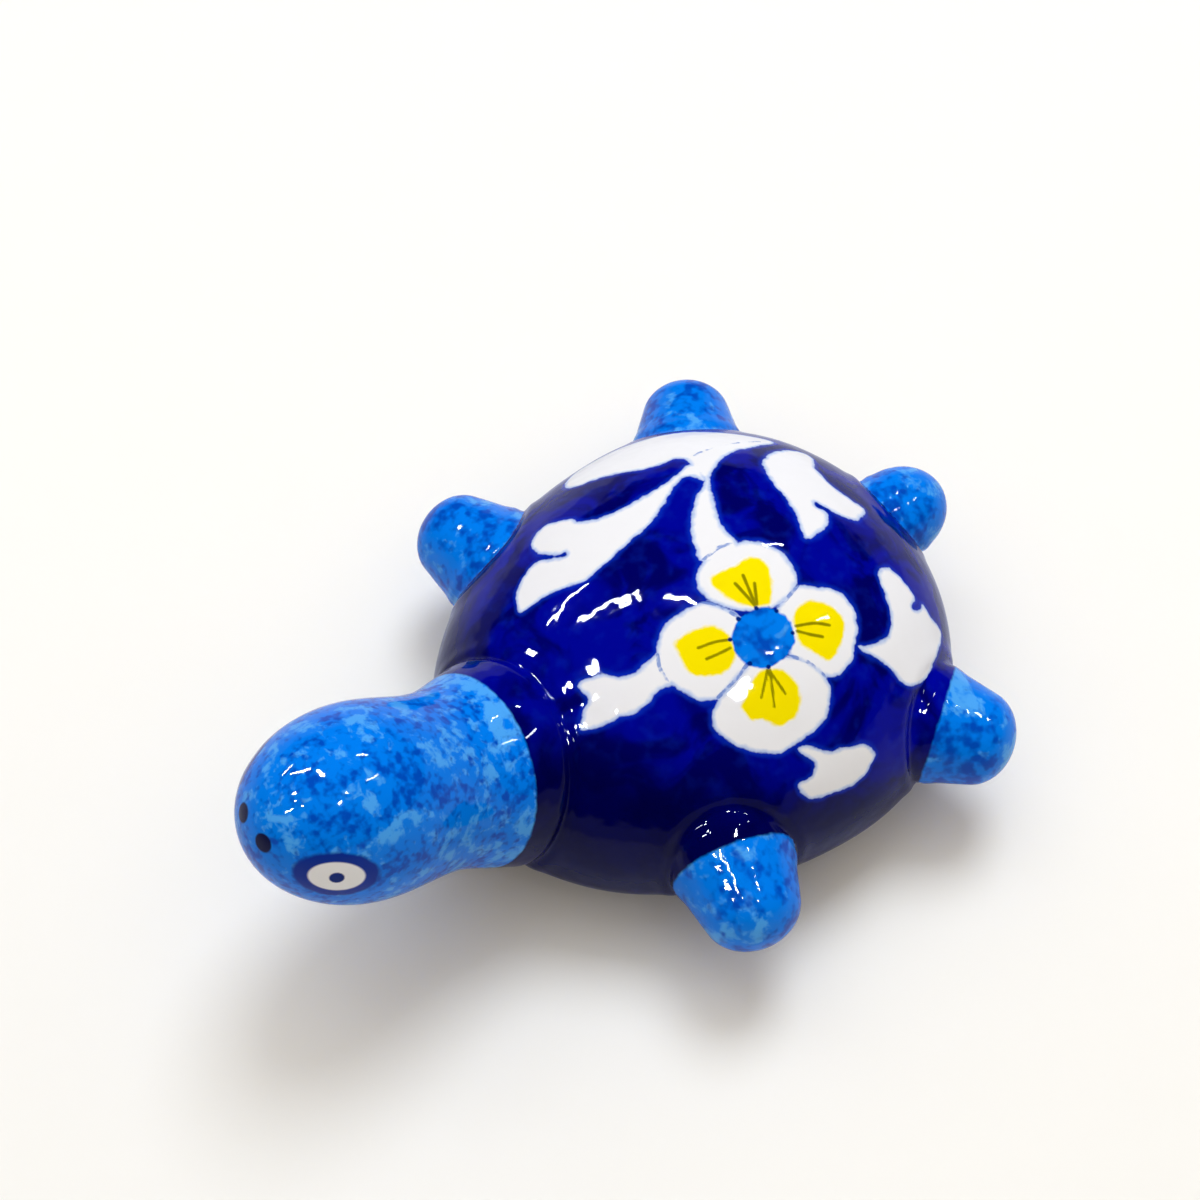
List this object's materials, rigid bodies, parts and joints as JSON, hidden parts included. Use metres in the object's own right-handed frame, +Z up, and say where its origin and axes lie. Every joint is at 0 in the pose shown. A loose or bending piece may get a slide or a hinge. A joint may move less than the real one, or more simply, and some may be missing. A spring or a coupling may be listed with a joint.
{
  "type": "tortoise paperweight",
  "caption": "Glazed pottery tortoise: a hollow domed shell on a flat base, with a raised head, stub feet and a stub tail luted on. Holds papers down.",
  "frame": {"origin": "on the flat base, under the widest part of the shell in its middle plane", "axes": "+Z up from the base; the head points to -Y and the tail to +Y; +X is the animal's left side"},
  "size_m": [0.087, 0.1211, 0.0501],
  "materials": {
    "cobalt_glaze": "clear glossy glaze over deep cobalt underglaze painting",
    "azure_glaze": "clear glossy glaze over mottled azure underglaze"
  },
  "bodies": {
    "root": {"carapace": "cobalt_glaze", "plastron": "cobalt_glaze", "head_and_neck": "azure_glaze", "front_left_foot": "azure_glaze", "front_right_foot": "azure_glaze", "rear_left_foot": "azure_glaze", "rear_right_foot": "azure_glaze", "tail": "azure_glaze"}
  },
  "joints": []
}
